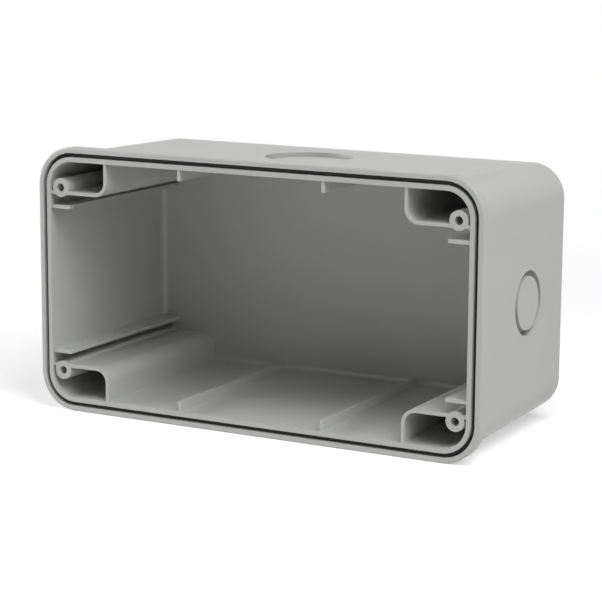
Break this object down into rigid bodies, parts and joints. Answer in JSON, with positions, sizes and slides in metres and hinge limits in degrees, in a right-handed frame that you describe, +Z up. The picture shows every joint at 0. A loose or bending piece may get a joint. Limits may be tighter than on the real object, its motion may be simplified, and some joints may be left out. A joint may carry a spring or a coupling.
{
  "type": "waterproof wall box",
  "caption": "Deep rectangular moulded enclosure base with an open front, a seal in its collar, corner wells with lid-screw bosses, guide ribs and round knockouts.",
  "frame": {"origin": "centre of the flat back face, which lies on the wall", "axes": "+X along the width, +Y into the wall through the back face, +Z up; the open rim faces -Y"},
  "size_m": [0.2066, 0.092, 0.114],
  "materials": {
    "moulded_grey": "fine moulded satin",
    "seal_rubber": "smooth matt"
  },
  "bodies": {
    "root": {"box_body": "moulded_grey", "rim_seal": "seal_rubber"}
  },
  "joints": []
}
